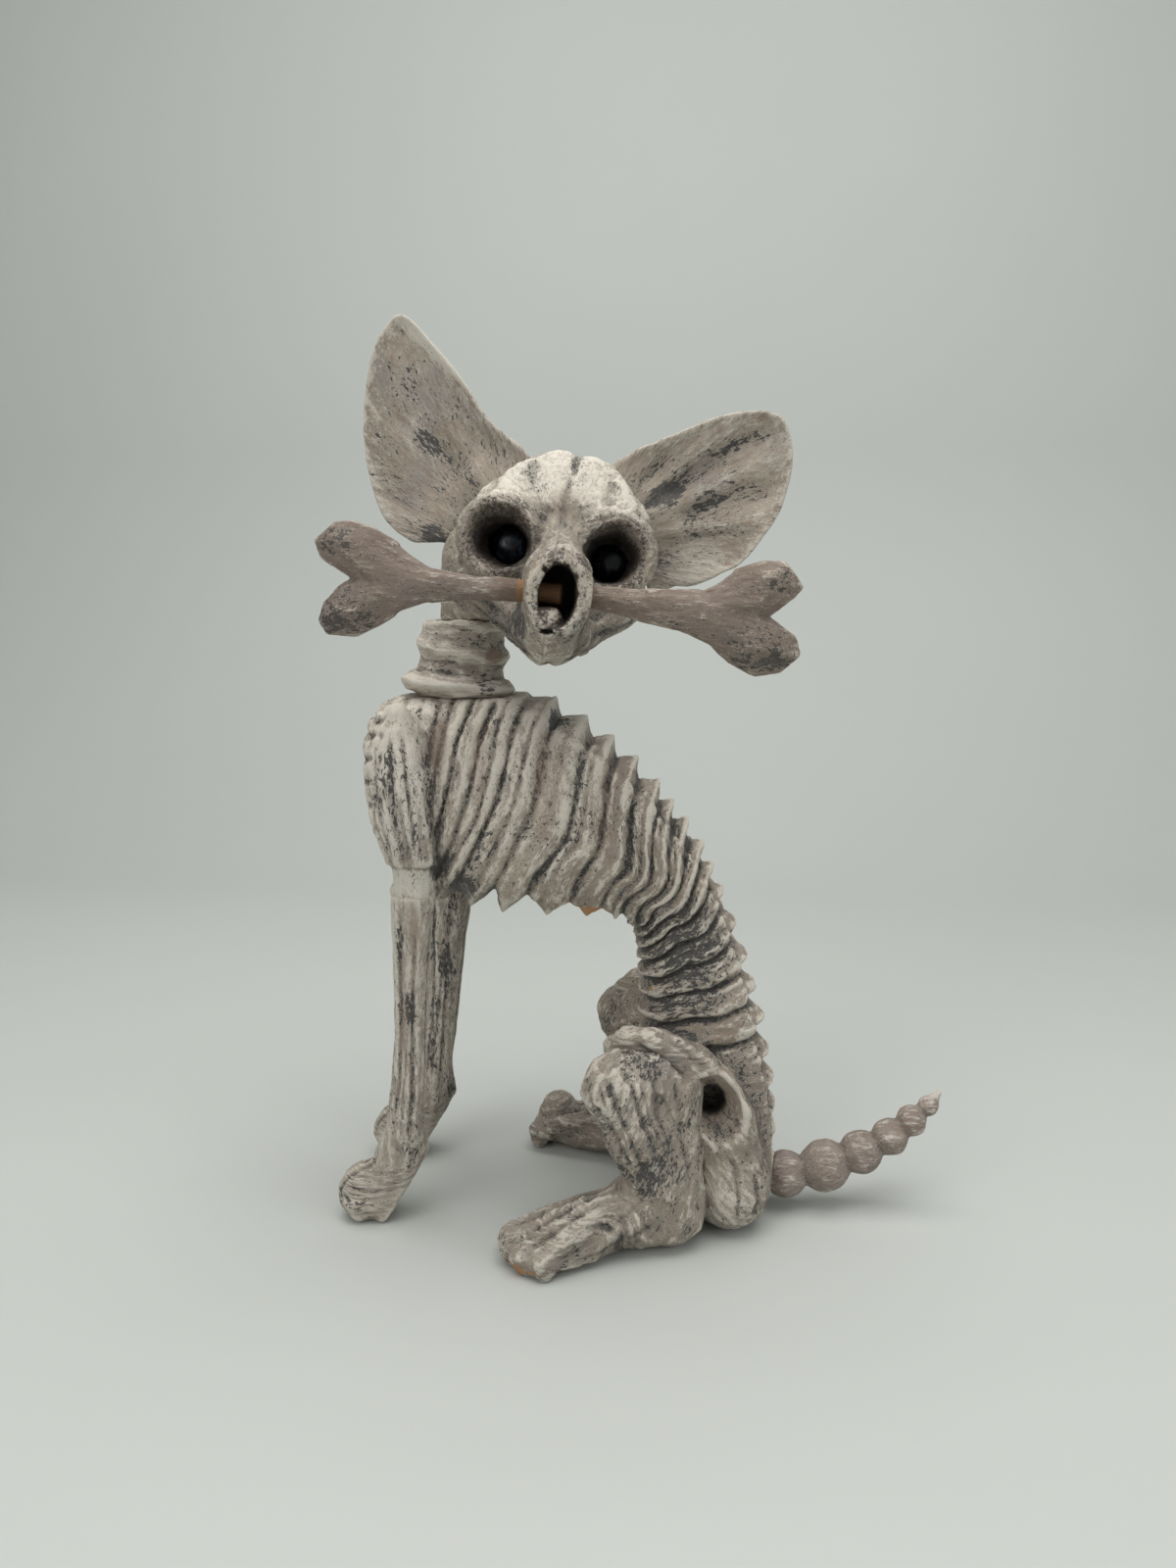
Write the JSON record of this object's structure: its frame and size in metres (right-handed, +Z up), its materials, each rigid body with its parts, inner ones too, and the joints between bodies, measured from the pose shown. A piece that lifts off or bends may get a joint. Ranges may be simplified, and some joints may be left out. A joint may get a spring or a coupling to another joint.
{
  "type": "carved wooden skeleton dog figure",
  "caption": "Seated skeleton dog, hand-carved and whitewashed wood, with its head turned to the side and a two-part bone held through its tube-shaped muzzle.",
  "frame": {"origin": "on the resting plane, under the middle of the figure's bounding box", "axes": "+Z up, the dog's chest faces -X and its tail +X, its turned head looks along -Y"},
  "size_m": [0.2863, 0.166, 0.4039],
  "materials": {
    "washed_wood": "taupe whitewash, rubbed and chipped to a charcoal undercoat",
    "pale_wood": "creamy whitewash, rubbed to a charcoal undercoat",
    "bone_wood": "thin brown-grey wash over wood grain",
    "tail_wood": "mauve-taupe wash, dry-brushed on the facets",
    "bare_wood": "bare turned wood",
    "eye_black": "glossy black lacquer"
  },
  "bodies": {
    "figure": {"torso": "washed_wood", "neck": "washed_wood", "skull": "pale_wood", "eye_right": "eye_black", "eye_left": "eye_black", "ear_right": "washed_wood", "ear_left": "washed_wood", "front_leg_left": "washed_wood", "front_leg_right": "washed_wood", "hind_leg_left": "washed_wood", "hind_leg_right": "washed_wood", "neck_dowel": "bare_wood", "head_dowel": "bare_wood", "ear_dowels": "bare_wood", "front_leg_dowels": "bare_wood", "hind_leg_dowels": "bare_wood"},
    "bone_right": {"bone_right_half": "bone_wood"},
    "bone_left": {"bone_left_half": "bone_wood"},
    "tail": {"tail": "tail_wood"}
  },
  "joints": [
    {"name": "bone_right_pull", "type": "slide", "parent": "figure", "child": "bone_right", "axis": [-0.9962, 0, 0.0872], "range_m": [0, 0.03]},
    {"name": "bone_left_pull", "type": "slide", "parent": "figure", "child": "bone_left", "axis": [0.9962, 0, -0.0872], "range_m": [0, 0.02]},
    {"name": "tail_pull", "type": "slide", "parent": "figure", "child": "tail", "axis": [0.9779, 0.0856, 0.1908], "range_m": [0, 0.022]}
  ]
}
